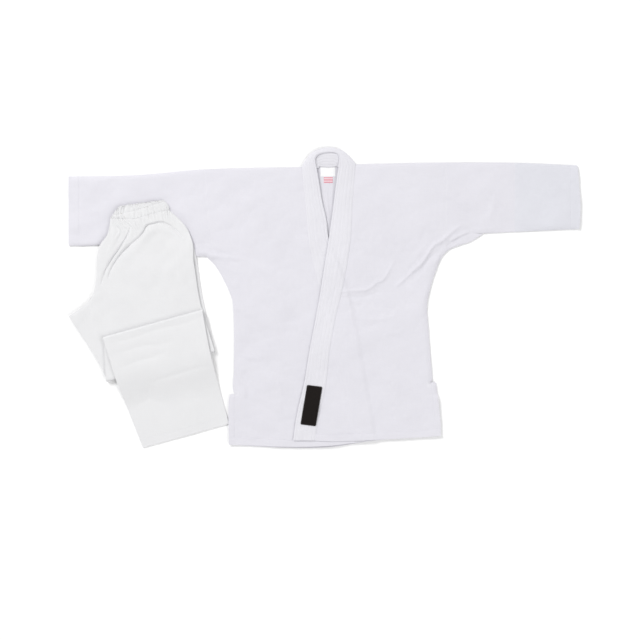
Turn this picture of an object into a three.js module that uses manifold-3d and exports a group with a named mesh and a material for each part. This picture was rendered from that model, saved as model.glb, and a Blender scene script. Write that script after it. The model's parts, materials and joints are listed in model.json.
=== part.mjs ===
// A martial arts uniform laid flat: a wrap jacket spread with its sleeves out, left front over right,
// and a pair of trousers folded lengthwise, laid on the right sleeve and folded twice at the knee.
// Millimetres. +X runs to the wearer's left sleeve, +Y to the collar, +Z up from the surface it lies on.
// The origin is under the middle of the garment. Left and right are the wearer's.
import * as THREE from 'three';
import { mergeVertices } from 'three/addons/utils/BufferGeometryUtils.js';
import Module from 'manifold-3d';

// ---- driving dimensions ----
const CUFF_X = 715;            // half of the span from cuff to cuff
const HEM_Y = -419;            // lowest point of the back hem
const COLLAR_Y = 419;          // top of the collar
const CENTRE_X = 12;           // centre back seam, and where the two lapels cross
const ARMHOLE_X = 338;         // half of the shoulder width
const SHOULDER_Y = 370;        // shoulder line beside the neck
const CHEST_Y = 165;           // where the left lapel crosses the right one
const WAIST_RIGHT_X = -255;    // sides of the body at the waist
const WAIST_LEFT_X = 286;
const VENT_Y = -262;           // top of the side vents
const ELBOW_X = 455;           // where the left sleeve folds over
const SLEEVE_SEAM_X = 532;     // seam of the left sleeve's end piece
const HEM_WIDTH = 18;
const CUFF_HEM_WIDTH = 28;
const FACING_WIDTH = 14;       // folded edge of a vent

const CLOTH = 1.6;             // one jacket layer with its seams
const LINEN = 1.2;             // one trouser layer
const GAP = 0.4;               // clearance between neighbours
const LAYER = CLOTH + GAP;     // from one jacket layer to the next
const LEAF = LINEN + GAP;      // from one trouser layer to the next
const LAPEL = 2.6;             // a lapel is a folded band
const THREAD = 0.4;            // how far a sewn-on bartack, label or tab stands up
const PATCH = 0.6;
const OUTER_Z = LAYER + LAPEL + GAP;        // underside of the left front, which lies on the right lapel
const TROUSERS_Z = 2 * LAYER;               // underside of the trousers, which lie on the right sleeve

const LEG_ANGLE = 15.5;        // degrees that the folds of the trousers rise towards the jacket
const LEG_PLACE = [-458, -186.5];           // middle of the lower fold
const KNEE_LENGTH = 112;       // between the two folds
const SHIN_LENGTH = 322;       // from the upper fold to the trouser hem
const WAIST_HEIGHT = 411;      // from the lower fold to the waistband

const jacketCotton = { color: 0xe8e7ed, roughness: 0.92, metalness: 0 };
const bandCotton = { color: 0xebeaf0, roughness: 0.9, metalness: 0 };
const trouserCotton = { color: 0xebebec, roughness: 0.92, metalness: 0 };
const blackTwill = { color: 0x191414, roughness: 0.8, metalness: 0 };
const whiteSatin = { color: 0xf6f5f6, roughness: 0.5, metalness: 0 };
const pinkPrint = { color: 0xe6a6b4, roughness: 0.6, metalness: 0 };
const elasticRubber = { color: 0xe2e0d8, roughness: 0.85, metalness: 0 };

const group = new THREE.Group();
const trousers = new THREE.Group();
trousers.position.set(...LEG_PLACE, 0);
trousers.rotation.z = THREE.MathUtils.degToRad(LEG_ANGLE);
group.add(trousers);

// ---- outlines ----
const shift = (points, dx, dy) => points.map(([x, y]) => [x + dx, y + dy]);

// A band of cloth along an edge: the edge there, and the same edge moved over back.
const band = (edge, dx, dy) => [...edge, ...shift(edge, dx, dy).reverse()];

// The part of an outline on the left of the line from a to b, set back from it by half a gap.
function leftOf(outline, a, b) {
  const length = Math.hypot(b[0] - a[0], b[1] - a[1]);
  const side = ([x, y]) => ((b[0] - a[0]) * (y - a[1]) - (b[1] - a[1]) * (x - a[0])) / length - GAP / 2;
  return outline.flatMap((point, i) => {
    const next = outline[(i + 1) % outline.length];
    const here = side(point);
    const there = side(next);
    const kept = here >= 0 ? [point] : [];
    if (here * there >= 0) {
      return kept;
    }
    const t = here / (here - there);
    return [...kept, [point[0] + t * (next[0] - point[0]), point[1] + t * (next[1] - point[1])]];
  });
}

// ---- solids ----
function extrude(outline, thickness) {
  const shape = new THREE.Shape(outline.map(([x, y]) => new THREE.Vector2(x, y)));
  return new THREE.ExtrudeGeometry(shape, { depth: thickness, bevelEnabled: false });
}

function addPiece(name, geometry, bottom, look, parent = group) {
  const mesh = new THREE.Mesh(geometry, new THREE.MeshStandardMaterial(look));
  mesh.name = name;
  mesh.position.z = bottom;
  parent.add(mesh);
}

const addSlab = (name, outline, bottom, thickness, look, parent) =>
  addPiece(name, extrude(outline, thickness), bottom, look, parent);

const wasm = await Module();
wasm.setup();

function toSolid(geometry, bottom) {
  const bare = geometry.clone().translate(0, 0, bottom);
  bare.deleteAttribute('normal');
  bare.deleteAttribute('uv');
  const merged = mergeVertices(bare, 1e-4);
  const vertProperties = new Float32Array(merged.attributes.position.array);
  const triVerts = new Uint32Array(merged.index.array);
  return new wasm.Manifold(new wasm.Mesh({ numProp: 3, vertProperties, triVerts }));
}

function toGeometry(solid) {
  const mesh = solid.getMesh();
  const geometry = new THREE.BufferGeometry();
  geometry.setAttribute('position', new THREE.BufferAttribute(mesh.vertProperties, 3));
  geometry.setIndex(new THREE.BufferAttribute(mesh.triVerts, 1));
  return geometry;
}

// ---- jacket edges, from the top down ----
const rightArmpit = [-318, 150];
const leftArmpit = [ARMHOLE_X, 178];
const rightSide = [
  rightArmpit, [-279, 44], [-258, -5], [WAIST_RIGHT_X, -28], [WAIST_RIGHT_X + 2, -202], [-254, VENT_Y],
];
const leftSide = [
  leftArmpit, [303, 51], [292, 16], [WAIST_LEFT_X, -15], [WAIST_LEFT_X + 4, -90], [301, VENT_Y + 33],
];
const rightVent = [[-264, VENT_Y - 8], [-267, VENT_Y - 24], [-267, -410]];
const leftVent = [[311, VENT_Y + 26], [319, VENT_Y - 40], [324, -385]];
const backHem = [[-267, -410], [-92, HEM_Y], [CENTRE_X, HEM_Y + 2], [144, -398], [324, -385]];
const rightFrontHem = [[-267, -410], [-92, HEM_Y + 3], [CENTRE_X, HEM_Y + 6], [84, -405]];
const leftFrontHem = [[-29, -398], [15, -400], [144, -396], [251, -390], [324, -385]];

// Lapel seams and free edges. Below the crossing the right lapel is hidden under the left front.
const rightLapelSeam = [
  [-61, SHOULDER_Y - 4], [-43, CHEST_Y], [-24, 70], [6, -34], [18, -83], [55, -246], [84, -386], [84, -405],
];
const rightLapelEdge = [
  [-22, SHOULDER_Y - 9], [-15, 322], [-7, 272], [4, 224], [CENTRE_X, CHEST_Y], [62, 27], [112, -238],
  [141, -398],
];
const leftLapelSeam = [
  [86, SHOULDER_Y + 2], [77, 274], [71, CHEST_Y], [57, 70], [35, -34], [20, -83], [1, -246], [-29, -379],
  [-29, -398],
];
const leftLapelEdge = [
  [39, SHOULDER_Y - 4], [33, 322], [25, 260], [CENTRE_X, CHEST_Y], [2, 102], [-10, 27], [-24, -52],
  [-42, -146], [-57, -238], [-78, -330], [-88, -398],
];
const foldTop = [37, 374];     // the left front turns open about the line from here
const foldFoot = [211, -392];  // to here

const lapel = (seam, edge) => [...shift(seam, GAP, 0), ...[...edge].reverse()];
const sidePanel = (shoulder, side, vent, facing) =>
  [...shoulder, ...side, ...shift(vent, facing, 0).slice(0, -1)];

// ---- jacket back ----
const rightShoulder = [[-61, SHOULDER_Y - 4], [-ARMHOLE_X, 359]];
const leftShoulder = [[86 + GAP, SHOULDER_Y + 3], [ARMHOLE_X, 378]];
const aboveHem = (points) => shift(points, 0, HEM_WIDTH + GAP);
const rightInner = FACING_WIDTH + GAP;
const leftInner = -FACING_WIDTH - GAP;

const backOutline = [
  ...sidePanel(rightShoulder, rightSide, rightVent, rightInner),
  ...aboveHem([[-267 + rightInner, -410], ...backHem.slice(1, -1), [324 + leftInner, -385]]),
  ...sidePanel(leftShoulder, leftSide, leftVent, leftInner).reverse(),
];
const seamTop = [CENTRE_X, COLLAR_Y];
const seamFoot = [CENTRE_X, HEM_Y];
addSlab('back_panel_right', leftOf(backOutline, seamFoot, seamTop), 0, CLOTH, jacketCotton);
addSlab('back_panel_left', leftOf(backOutline, seamTop, seamFoot), 0, CLOTH, jacketCotton);
addSlab('back_hem', band(backHem, 0, HEM_WIDTH), 0, CLOTH, bandCotton);

const ventFacing = (vent, dx) => band([...vent.slice(0, -1), shift(vent, 0, HEM_WIDTH + GAP).at(-1)], dx, 0);
addSlab('right_vent_facing_back', ventFacing(rightVent, FACING_WIDTH), 0, CLOTH, bandCotton);
addSlab('left_vent_facing_back', ventFacing(leftVent, -FACING_WIDTH), 0, CLOTH, bandCotton);

// Behind the neck the band stands on its seam: its free edge rolls over outwards, and its inner face
// slopes down from there to the back panel.
const collarOuter = [
  [-61, SHOULDER_Y - 3], [-46, 391], [-32, 405], [-16, 414], [CENTRE_X, COLLAR_Y], [29, 418], [46, 414],
  [60, 405], [74, 390], [86, SHOULDER_Y + 4],
];
const collarInner = [
  [-22, SHOULDER_Y], [-29, 395], [-10, 401], [10, 406], [26, 405], [42, 404], [39, SHOULDER_Y + 3],
];
const neckFacing = [
  [-21, SHOULDER_Y - 1], [-28, 394], [-10, 400], [10, 405], [26, 404], [41, 403], [38, SHOULDER_Y + 2],
];
addSlab('neck_band', [...collarOuter, ...[...collarInner].reverse()], 0, LAYER + LAPEL, bandCotton);
addSlab('neck_band_facing', neckFacing, 0, CLOTH, bandCotton);

const labelOutline = [[-11, 340], [30, 340], [30, 366], [-11, 366]];
const tabOutline = [[-2, 322], [23, 322], [23, 339.6], [-2, 339.6]];
addSlab('neck_label', labelOutline, LAYER, THREAD, whiteSatin);
addSlab('size_tab', tabOutline, LAYER, THREAD, pinkPrint);

// ---- jacket fronts ----
const rightFrontOutline = [
  ...sidePanel(rightShoulder, rightSide, rightVent, rightInner),
  ...aboveHem([[-267 + rightInner, -410], ...rightFrontHem.slice(1)]),
  ...rightLapelSeam.slice(1, -2).reverse(),
];
addSlab('right_front_panel', rightFrontOutline, LAYER, CLOTH, jacketCotton);
addSlab('right_front_hem', band(rightFrontHem, 0, HEM_WIDTH), LAYER, CLOTH, bandCotton);
addSlab('right_vent_facing_front', ventFacing(rightVent, FACING_WIDTH), LAYER, CLOTH, bandCotton);
addSlab('right_lapel', lapel(rightLapelSeam, rightLapelEdge), LAYER, LAPEL, bandCotton);

const leftFrontOutline = [
  ...sidePanel(leftShoulder, leftSide, leftVent, leftInner),
  ...aboveHem([[324 + leftInner, -385], ...leftFrontHem.slice(0, -1).reverse()]),
  ...shift(leftLapelSeam, GAP, 0).slice(1, -2).reverse(),
];
const leftLapelOutline = [...leftLapelSeam, ...[...leftLapelEdge].reverse()];
const leftHemOutline = band([[-29 + GAP, -398], ...leftFrontHem.slice(1)], 0, HEM_WIDTH);
const onSide = (outline) => leftOf(outline, foldTop, foldFoot);
const onFlap = (outline) => leftOf(outline, foldFoot, foldTop);
addSlab('left_front_side', onSide(leftFrontOutline), OUTER_Z, CLOTH, jacketCotton);
addSlab('left_front_flap', onFlap(leftFrontOutline), OUTER_Z, CLOTH, jacketCotton);
addSlab('left_side_hem', onSide(leftHemOutline), OUTER_Z, CLOTH, bandCotton);
addSlab('left_flap_hem', onFlap(leftHemOutline), OUTER_Z, CLOTH, bandCotton);
addSlab('left_lapel_upper', onSide(leftLapelOutline), OUTER_Z, LAPEL, bandCotton);
addSlab('left_lapel_flap', onFlap(leftLapelOutline), OUTER_Z, LAPEL, bandCotton);
addSlab('left_vent_facing_front', ventFacing(leftVent, -FACING_WIDTH), OUTER_Z, CLOTH, bandCotton);

const patchOutline = [[-48, -244], [-66, -352], [-25, -357], [-7, -249]];
addSlab('lapel_patch', patchOutline, OUTER_Z + LAPEL + GAP, PATCH, blackTwill);

const bartack = (x, y) => band([[x, y], [x + FACING_WIDTH, y]], 0, FACING_WIDTH);
addSlab('right_bartack', bartack(-252, VENT_Y - 12), LAYER + CLOTH + GAP, THREAD, bandCotton);
addSlab('left_bartack', bartack(286, VENT_Y + 12), OUTER_Z + CLOTH + GAP, THREAD, bandCotton);

// ---- sleeves: each a flattened tube of a back and a front layer ----
const rightCuff = [[-CUFF_X, 147], [-CUFF_X, 339]];
const rightSleeve = [
  [-CUFF_X + CUFF_HEM_WIDTH + GAP, 146], ...shift([rightArmpit], -GAP, GAP), [-ARMHOLE_X - GAP, 359],
  [-526, 343], [-CUFF_X + CUFF_HEM_WIDTH + GAP, 339],
];
const leftSleeveTop = [[ARMHOLE_X + GAP, 378], [547, 377], [707, 370]];
const leftSleeveFoot = [[712, 194], [571, 188], [ARMHOLE_X + GAP, 179]];
const leftSleeve = [...leftSleeveTop, [715, 244], ...leftSleeveFoot];
const acrossSleeve = (outline, fromX, toX) => {
  const beyond = leftOf(outline, [fromX, COLLAR_Y], [fromX, 0]);
  return leftOf(beyond, [toX, 0], [toX, COLLAR_Y]);
};
const cuffHemX = CUFF_X - CUFF_HEM_WIDTH;
const leftSleeveStretches = [
  ['left_upper_sleeve', ARMHOLE_X, ELBOW_X, jacketCotton],
  ['left_forearm', ELBOW_X, SLEEVE_SEAM_X, jacketCotton],
  ['left_sleeve_end', SLEEVE_SEAM_X, cuffHemX, jacketCotton],
  ['left_cuff_hem', cuffHemX, CUFF_X + 1, bandCotton],
];
for (const [face, bottom] of [['back', 0], ['front', LAYER]]) {
  addSlab(`right_sleeve_${face}`, rightSleeve, bottom, CLOTH, jacketCotton);
  addSlab(`right_cuff_hem_${face}`, band(rightCuff, CUFF_HEM_WIDTH, 0), bottom, CLOTH, bandCotton);
  for (const [name, fromX, toX, look] of leftSleeveStretches) {
    addSlab(`${name}_${face}`, acrossSleeve(leftSleeve, fromX, toX), bottom, CLOTH, look);
  }
}

// Underarm gussets: a folded diamond between the sleeve, the front and the back.
const rightGusset = [
  ...shift([rightArmpit], -GAP, -GAP), [-445, 148], [-365, 118], [-330, 116], [-307, 93], [-293, 70],
  [-279 - GAP, 45],
];
const leftGusset = [
  ...shift([leftArmpit], GAP, -GAP), [303 + GAP, 52], [317, 90], [327, 113], [347, 135], [383, 148],
  [412, 160], [427, 170], [443, 180],
];
addSlab('right_underarm_gusset', rightGusset, 0, LAYER + CLOTH, jacketCotton);
addSlab('left_underarm_gusset', leftGusset, 0, LAYER + CLOTH, jacketCotton);

// ---- trousers, in their own frame: +X along the folds, +Y up the leg, origin at the lower fold ----
const thighOutline = [
  [156, GAP / 2], [162, 143], [171, 269], [175, 337], [165, 366], [151, 390], [139, 409],
  [41, WAIST_HEIGHT - 3], [-24, 433], [-45, 391], [-76, 363], [-97, 314], [-126, 244], [-149, 223],
  [-157, GAP / 2],
];
const kneeOutline = [[-157, GAP / 2], [156, GAP / 2], [153, KNEE_LENGTH], [-133, KNEE_LENGTH]];
const hemFoot = KNEE_LENGTH - SHIN_LENGTH;
const shinOutline = [
  [153, KNEE_LENGTH], [-133, KNEE_LENGTH], [-129, -9], [-112, hemFoot + HEM_WIDTH + GAP],
  [140, hemFoot + HEM_WIDTH + GAP], [143, -9],
];
const legHemOutline = [
  [-112, hemFoot + HEM_WIDTH], [-110, hemFoot], [139.5, hemFoot], [140, hemFoot + HEM_WIDTH],
];

const KNEE_Z = TROUSERS_Z + 4 * LEAF;
const SHIN_Z = KNEE_Z + 4 * LEAF;
const SLEEVE_FOOT = [[200, 252], [-200, 363]];      // the lower edge of the jacket's sleeve under the thigh
const layers = ['right_back', 'right_front', 'left_front', 'left_back'];
layers.forEach((layer, i) => {
  const [leg, face] = layer.split('_');
  const thighZ = TROUSERS_Z + i * LEAF;
  let thigh = extrude(thighOutline, LINEN);
  if (i === 0) {
    // Past the jacket's sleeve the lowest layer comes down to the surface.
    const past = extrude(leftOf(thighOutline, ...SLEEVE_FOOT), TROUSERS_Z + LINEN);
    thigh = toGeometry(toSolid(thigh, thighZ).add(toSolid(past, 0))).translate(0, 0, -thighZ);
  }
  addPiece(`${leg}_thigh_${face}`, thigh, thighZ, trouserCotton, trousers);
  addSlab(`${leg}_knee_${face}`, kneeOutline, KNEE_Z + (3 - i) * LEAF, LINEN, trouserCotton, trousers);
  addSlab(`${leg}_shin_${face}`, shinOutline, SHIN_Z + i * LEAF, LINEN, trouserCotton, trousers);
});
addSlab('right_leg_hem', legHemOutline, SHIN_Z, LEAF + LINEN, trouserCotton, trousers);
addSlab('left_leg_hem', legHemOutline, SHIN_Z + 2 * LEAF, LEAF + LINEN, trouserCotton, trousers);

const crotchOutline = [[-157 - GAP, 3], [-210, 198], [-149 - GAP, 222]];
addSlab('crotch_gusset', crotchOutline, 0, TROUSERS_Z + 3 * LEAF + LINEN, trouserCotton, trousers);

const waistbandOutline = [
  [-24, 433 + GAP], [7, 456], [131, 440], [140, 421], [139, WAIST_HEIGHT], [41, WAIST_HEIGHT],
];
const ELASTIC = 0.8;           // the elastic and the drawstring lie in the waistband, one over the other
const inWaistband = (level) => TROUSERS_Z + LINEN + 0.3 + level * (ELASTIC + 0.3);
const elasticOutline = [[-8, 430], [20, 442], [126, 430], [130, 416], [41, 416]];
const stringOutline = [[8, 428], [20, 436], [120, 424], [118, 418], [41, 420]];
addSlab('waistband_right', waistbandOutline, TROUSERS_Z, LINEN, trouserCotton, trousers);
addSlab('waist_elastic_right', elasticOutline, inWaistband(0), ELASTIC, elasticRubber, trousers);
addSlab('drawstring', stringOutline, inWaistband(1), ELASTIC, trouserCotton, trousers);
addSlab('waist_elastic_left', elasticOutline, inWaistband(2), ELASTIC, elasticRubber, trousers);
addSlab('waistband_left', waistbandOutline, TROUSERS_Z + 3 * LEAF, LINEN, trouserCotton, trousers);

export default group;
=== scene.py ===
"""A martial arts uniform laid flat: a wrap jacket, and trousers folded on its right sleeve.

Each layer of cloth is a surface over the outlines of its CAD nodes, cut into pieces along their seams. A
height function gives it its rest shape: air inside the garment, ripples, creases, seams and rolled edges.
Left and right are the wearer's. Lengths are in metres, and in mm where a comment says so.
"""
import json
import math

import bpy
import numpy as np
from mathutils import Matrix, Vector
from mathutils.bvhtree import BVHTree
from mathutils.geometry import delaunay_2d_cdt
from mathutils.kdtree import KDTree


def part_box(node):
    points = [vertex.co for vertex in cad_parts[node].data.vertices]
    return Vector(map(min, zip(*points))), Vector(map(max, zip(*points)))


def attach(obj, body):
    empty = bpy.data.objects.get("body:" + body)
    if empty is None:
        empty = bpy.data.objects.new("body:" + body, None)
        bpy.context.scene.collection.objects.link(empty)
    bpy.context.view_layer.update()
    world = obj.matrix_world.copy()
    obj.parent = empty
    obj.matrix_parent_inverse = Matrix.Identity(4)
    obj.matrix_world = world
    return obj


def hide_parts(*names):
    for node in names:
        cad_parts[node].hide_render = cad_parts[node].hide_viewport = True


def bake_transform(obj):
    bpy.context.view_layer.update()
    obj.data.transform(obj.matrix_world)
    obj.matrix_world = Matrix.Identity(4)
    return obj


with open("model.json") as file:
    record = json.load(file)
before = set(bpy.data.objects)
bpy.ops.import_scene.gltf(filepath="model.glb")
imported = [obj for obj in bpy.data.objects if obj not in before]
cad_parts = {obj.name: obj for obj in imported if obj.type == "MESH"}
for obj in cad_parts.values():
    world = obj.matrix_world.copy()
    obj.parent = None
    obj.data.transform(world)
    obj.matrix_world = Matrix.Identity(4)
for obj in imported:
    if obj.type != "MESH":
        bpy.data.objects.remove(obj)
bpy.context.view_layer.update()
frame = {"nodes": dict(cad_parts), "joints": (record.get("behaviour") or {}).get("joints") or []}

MM = 0.001
CANVAS = 1.1 * MM          # one layer of jacket cloth
HEM = 2.2 * MM             # cloth folded over twice
DRILL = 0.8 * MM           # one layer of trouser cloth
LEAST_GAP = 1.0 * MM       # between the points of a mesh beside seams and creases
SEAM_REACH = 2.2 * MM      # how far the dip along a seam reaches
EDGE_ROLL = 13 * MM        # radius at which front and back come together at a sewn edge
FAR = 1e9                  # farther than anything here


# ---------------------------------------------------------------- plane geometry

def unit(vectors):
    """The vectors, each brought to length 1."""
    return vectors / np.maximum(np.linalg.norm(vectors, axis=-1, keepdims=True), 1e-12)


def ease(values, low, high):
    """0 below low, 1 above high, smooth between."""
    t = np.clip((values - low) / (high - low), 0, 1)
    return t * t * (3 - 2 * t)


def round_over(depth, radius):
    """A quarter circle: 0 at an edge, 1 from radius inwards."""
    t = np.clip(depth / radius, 0, 1)
    return np.sqrt(1 - (1 - t) ** 2)


def along(path, step):
    """Points every step along a path, its ends included."""
    path = np.asarray(path, float)
    lengths = np.r_[0, np.cumsum(np.linalg.norm(np.diff(path, axis=0), axis=1))]
    count = max(2, int(round(lengths[-1] / step)) + 1)
    at = np.linspace(0, lengths[-1], count)
    return np.stack([np.interp(at, lengths, path[:, k]) for k in range(path.shape[1])], 1)


def beside(path, by):
    """The path moved to its left by a distance."""
    path = np.asarray(path, float)
    slope = unit(np.gradient(path, axis=0))
    return path + by * np.stack([-slope[:, 1], slope[:, 0]], 1)


def edges_of(loop):
    """Where each edge of a closed loop starts and ends."""
    return loop, np.roll(loop, -1, 0)


def segment_distance(points, starts, ends):
    """From each point to the nearest of some straight pieces."""
    best = np.full(len(points), FAR)
    for a, b in zip(starts, ends):
        run = b - a
        t = np.clip(((points - a) @ run) / max(run @ run, 1e-12), 0, 1)
        best = np.minimum(best, np.hypot(*(points - a - t[:, None] * run).T))
    return best


def inside(points, loop):
    """Which points lie inside a loop."""
    x, y = points.T
    result = np.zeros(len(points), bool)
    for (ax, ay), (bx, by) in zip(*edges_of(loop)):
        if ay != by:
            result ^= ((ay > y) != (by > y)) & (x < (bx - ax) * (y - ay) / (by - ay) + ax)
    return result


def depth_in(points, loop):
    """Distance to a loop, positive inside it."""
    return np.where(inside(points, loop), 1, -1) * segment_distance(points, *edges_of(loop))


def waves(points, length, seed, count=16):
    """Random swells of about one wavelength, with a spread of about 1."""
    random = np.random.default_rng(seed)
    total = np.zeros(len(points))
    for _ in range(count):
        turn, phase = random.uniform(0, 2 * math.pi, 2)
        number = 2 * math.pi / (length * random.uniform(0.7, 1.6))
        total += np.cos(number * (points[:, 0] * math.cos(turn) + points[:, 1] * math.sin(turn)) + phase)
    return total / math.sqrt(count / 2)


def swelling(points, level, swells):
    """A level with random swells, each given by its height in mm, its wavelength and a seed."""
    for height, length, seed in swells:
        level = level + height * MM * waves(points, length, seed)
    return level


def cut_corners(path):
    """The path with each inner corner replaced by two blunter ones."""
    path = np.asarray(path, float)
    early, late = path[:-1] * 0.75 + path[1:] * 0.25, path[:-1] * 0.25 + path[1:] * 0.75
    inner = np.stack([early, late], 1).reshape(-1, 2)
    return np.concatenate([path[:1], inner[1:-1], path[-1:]])


def cubic(t, start, end, leave, arrive, length):
    """A cubic from start at t = 0 to end at t = 1, a length apart, with the slopes that it has there."""
    return (
        (2 * t**3 - 3 * t**2 + 1) * start + (t**3 - 2 * t**2 + t) * leave * length
        + (3 * t**2 - 2 * t**3) * end + (t**3 - t**2) * arrive * length
    )


def crease(points, path, height, width):
    """A soft ridge, or a valley where height is negative, that fades out at both ends of a path in mm."""
    path = cut_corners(np.array(path) * MM)
    runs = np.diff(path, axis=0)
    lengths = np.linalg.norm(runs, axis=1)
    near = np.full(len(points), FAR)
    where = np.zeros(len(points))
    passed = 0.0
    for start, run, length in zip(path, runs, lengths):
        t = np.clip(((points - start) @ run) / length**2, 0, 1)
        gap = np.hypot(*(points - start - t[:, None] * run).T)
        where = np.where(gap < near, (passed + t * length) / lengths.sum(), where)
        near = np.minimum(near, gap)
        passed += length
    return height * np.exp(-((near / width) ** 2)) * np.sqrt(np.clip(np.sin(math.pi * where), 0, 1))


# ---------------------------------------------------------------- what the frame gives: hinges and outlines

def hinge_line(name):
    """A hinge's place, its direction seen from above, and the direction to the left of that."""
    joint = next(joint for joint in frame["joints"] if joint["name"] == name)
    way = unit(np.array(joint["axis"][:2]))
    return np.array(joint["pos_m"]), way, np.array([-way[1], way[0]])


def rings_round(faces):
    """The closed rings of corners round the rim of some faces, the one with the least corner first."""
    steps = {step for face in faces for step in zip(face, face[1:] + face[:1])}
    follow = {a: b for a, b in steps if (b, a) not in steps}
    rings = []
    while follow:
        ring = [min(follow)]
        while follow.get(ring[-1], ring[0]) != ring[0]:
            ring.append(follow.pop(ring[-1]))
        follow.pop(ring[-1], None)
        rings.append(ring)
    return rings


def top_outline(node):
    """The outline of a node's top face, counterclockwise."""
    mesh = frame["nodes"][node].data
    places = [tuple(round(c, 5) for c in vertex.co[:2]) for vertex in mesh.vertices]
    top = [[places[v] for v in face.vertices] for face in mesh.polygons if face.normal.z > 0.9]
    return np.array(rings_round(top)[0])


def grow(loop, by):
    """The loop moved outwards by a distance."""
    before = unit(loop - np.roll(loop, 1, 0))
    after = unit(np.roll(loop, -1, 0) - loop)
    out = np.stack([before[:, 1] + after[:, 1], -before[:, 0] - after[:, 0]], 1)
    return loop + by * out / np.maximum((out * out).sum(1, keepdims=True) / 2, 0.35)


def area_inside(loop):
    x, y = loop.T
    return 0.5 * (x @ np.roll(y, -1) - y @ np.roll(x, -1))


def joined(loops, bridge=1.6 * MM):
    """The outline of several loops with only narrow gaps between them, which it closes."""
    places, faces = [], []
    for loop in loops:
        faces.append(list(range(len(places), len(places) + len(loop))))
        places.extend(Vector(p) for p in grow(loop, bridge))
    places, _, faces, *_ = delaunay_2d_cdt(places, [], faces, 1, 1e-7)
    rings = [np.array([places[i] for i in ring]) for ring in rings_round(faces)]
    outer = max(rings, key=lambda ring: abs(area_inside(ring)))
    return grow(straightened(outer), 0.2 * MM - bridge)


def one_outline(loops):
    return joined(loops) if len(loops) > 1 else loops[0]


def straightened(loop, tolerance=0.8 * MM):
    """The loop without the points that hardly bend it."""
    loop = list(map(np.array, loop))
    while True:
        away = []
        for i, here in enumerate(loop):
            before, after = loop[i - 1], loop[(i + 1) % len(loop)]
            away.append(segment_distance(here[None], [before], [after])[0])
        least = int(np.argmin(away))
        if away[least] > tolerance:
            return np.array(loop)
        loop.pop(least)


def smoothed(loop, step, corner=math.radians(36)):
    """A loop through the same points, curved where it bends gently, with a point about every step."""
    run = np.roll(loop, -1, 0) - loop
    length = np.linalg.norm(run, axis=1)
    heading = run / length[:, None]
    arriving = np.roll(heading, 1, 0)
    turn = np.arccos(np.clip((heading * arriving).sum(1), -1, 1))
    tangent = unit(heading + arriving)
    result = []
    for i, here in enumerate(loop):
        j = (i + 1) % len(loop)
        leave = heading[i] if turn[i] > corner else tangent[i]
        arrive = heading[i] if turn[j] > corner else tangent[j]
        count = max(1, int(round(length[i] / step)))
        t = (np.arange(count) / count)[:, None]
        result.append(cubic(t, here, loop[j], leave, arrive, length[i]))
    return np.concatenate(result)


# ---------------------------------------------------------------- meshes

stood_for = set()          # CAD nodes that a piece already stands for


def add_mesh(name, points, faces, material, body=None, bend=None, node=None, smooth_angle=48):
    """A piece that rides on one body, or, if given a bend, keeps its place with its transform baked and no
    parent; it stands for one node or several.
    """
    mesh = bpy.data.meshes.new(name)
    mesh.from_pydata(np.asarray(points).tolist(), [], [tuple(map(int, face)) for face in faces])
    mesh.materials.append(material)
    mesh.polygons.foreach_set("use_smooth", [True] * len(mesh.polygons))
    mesh.set_sharp_from_angle(angle=math.radians(smooth_angle))
    piece = bpy.data.objects.new(name, mesh)
    bpy.context.scene.collection.objects.link(piece)
    if bend:
        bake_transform(piece)
    else:
        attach(piece, body)
    for one in [node] if isinstance(node, str) else node or []:
        if one not in stood_for:
            stood_for.add(one)
            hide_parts(one)
    return piece


def facing(points, triangles):
    """Each triangle's normal, twice as long as the triangle is large."""
    corners = points[triangles]
    return np.cross(corners[:, 1] - corners[:, 0], corners[:, 2] - corners[:, 0])


def surface_area(points, triangles):
    return float(0.5 * np.linalg.norm(facing(points, triangles), axis=1).sum())


def vertex_normals(points, triangles):
    total = np.zeros_like(points)
    for k in range(3):
        np.add.at(total, triangles[:, k], facing(points, triangles))
    return unit(total)


def thicken(points, normals, triangles, thickness):
    """A closed skin round a sheet of triangles."""
    used, index = np.unique(triangles, return_inverse=True)
    index = index.reshape(-1, 3)
    middle, out = points[used], normals[used]
    both = np.concatenate([middle + out * thickness / 2, middle - out * thickness / 2])
    count = len(used)
    steps = {tuple(step) for face in index for step in zip(face, np.roll(face, -1))}
    rim = [(a, a + count, b + count, b) for a, b in steps if (b, a) not in steps]
    return both, [*index, *(index[:, ::-1] + count), *sorted(rim)]


def triangulate(loop, step, seams=(), details=()):
    """Triangles that fill a loop, with edges along the seams and more points near the details."""
    fixed = [loop] + [along(seam, 5 * MM) for seam in seams]
    edges, first = [(i, (i + 1) % len(loop)) for i in range(len(loop))], len(loop)
    for seam in fixed[1:]:
        edges += [(first + i, first + i + 1) for i in range(len(seam) - 1)]
        first += len(seam)
    points = np.concatenate(fixed)
    extra = [beside(along(path, 4 * MM), side * SEAM_REACH) for path in seams for side in (-1, 1)]
    extra += list(details)
    if extra:
        extra = np.concatenate(extra)
        extra = extra[inside(extra, loop)]
        extra = extra[thinned(extra, LEAST_GAP)]
        extra = extra[nearest(extra, points) > LEAST_GAP]
        points = np.concatenate([points, extra])
    low, high = loop.min(0), loop.max(0)
    columns = np.arange(low[0], high[0], step)
    rows = np.arange(low[1], high[1], step * math.sqrt(3) / 2)
    lattice = np.array([(x + (k % 2) * step / 2, y) for k, y in enumerate(rows) for x in columns])
    lattice = lattice[inside(lattice, loop)]
    lattice = lattice[segment_distance(lattice, *edges_of(loop)) > 0.5 * step]
    lattice = lattice[nearest(lattice, points) > 0.62 * step]
    points = [Vector(p) for p in np.concatenate([points, lattice])]
    points, _, faces, *_ = delaunay_2d_cdt(points, edges, [], 0, 1e-7)
    points = np.array([tuple(p) for p in points])
    faces = np.array([face for face in faces if len(face) == 3])
    return points, faces[inside(points[faces].mean(1), loop)]


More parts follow.
